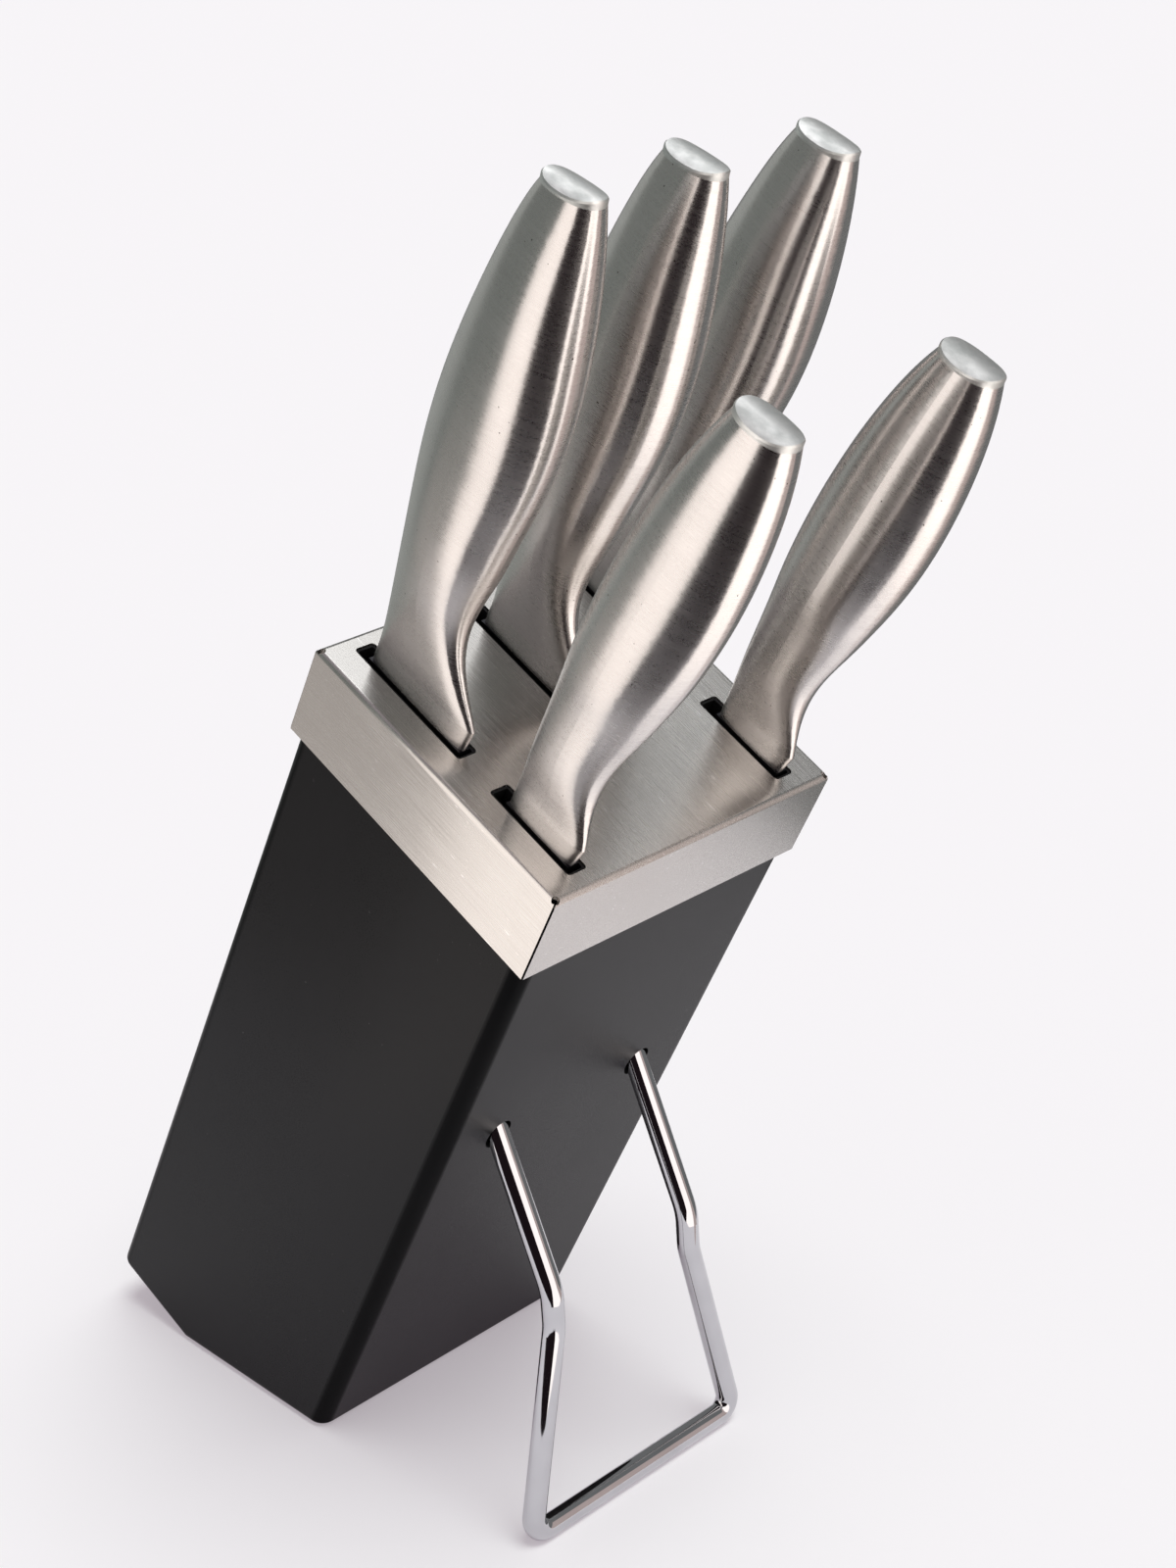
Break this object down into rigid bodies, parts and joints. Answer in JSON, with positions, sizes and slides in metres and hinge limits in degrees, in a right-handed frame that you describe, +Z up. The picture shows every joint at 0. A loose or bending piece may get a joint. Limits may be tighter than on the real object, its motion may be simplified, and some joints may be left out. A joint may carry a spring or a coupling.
{
  "type": "knife block",
  "caption": "Leaning knife block with a folded steel cap, a bent-wire stand and kitchen knives with hollow steel handles that lift out of their slots.",
  "frame": {"origin": "centre of the anti-slip pad's underside, on the table", "axes": "+Z up, +X to the right as seen from the stand, -Y towards the stand and the lean, knives slide along the lean"},
  "size_m": [0.086, 0.2262, 0.3315],
  "materials": {
    "soft_touch_plastic": "matte soft-touch charcoal",
    "cap_steel": "brushed straight, front to back",
    "black_plastic": "moulded matte black",
    "pad_rubber": "smooth black anti-slip",
    "chrome_wire": "polished chrome",
    "blade_steel": "satin ground",
    "handle_steel": "satin, brushed round the grip",
    "pommel_steel": "finely ground dome"
  },
  "bodies": {
    "block": {"block_body": "soft_touch_plastic", "steel_cap": "cap_steel", "slot_insert": "black_plastic", "base_pad": "pad_rubber", "wire_stand": "chrome_wire"},
    "bread_knife": {"bread_knife_blade": "blade_steel", "bread_knife_handle": "handle_steel", "bread_knife_pommel": "pommel_steel"},
    "chefs_knife": {"chefs_knife_blade": "blade_steel", "chefs_knife_handle": "handle_steel", "chefs_knife_pommel": "pommel_steel"},
    "carving_knife": {"carving_knife_blade": "blade_steel", "carving_knife_handle": "handle_steel", "carving_knife_pommel": "pommel_steel"},
    "utility_knife": {"utility_knife_blade": "blade_steel", "utility_knife_handle": "handle_steel", "utility_knife_pommel": "pommel_steel"},
    "paring_knife": {"paring_knife_blade": "blade_steel", "paring_knife_handle": "handle_steel", "paring_knife_pommel": "pommel_steel"}
  },
  "joints": [
    {"name": "bread_knife_slide", "type": "slide", "parent": "block", "child": "bread_knife", "axis": [0, -0.4407, 0.8976], "range_m": [0, 0.205]},
    {"name": "chefs_knife_slide", "type": "slide", "parent": "block", "child": "chefs_knife", "axis": [0, -0.4407, 0.8976], "range_m": [0, 0.2]},
    {"name": "carving_knife_slide", "type": "slide", "parent": "block", "child": "carving_knife", "axis": [0, -0.4407, 0.8976], "range_m": [0, 0.205]},
    {"name": "utility_knife_slide", "type": "slide", "parent": "block", "child": "utility_knife", "axis": [0, -0.4407, 0.8976], "range_m": [0, 0.13]},
    {"name": "paring_knife_slide", "type": "slide", "parent": "block", "child": "paring_knife", "axis": [0, -0.4407, 0.8976], "range_m": [0, 0.095]}
  ]
}
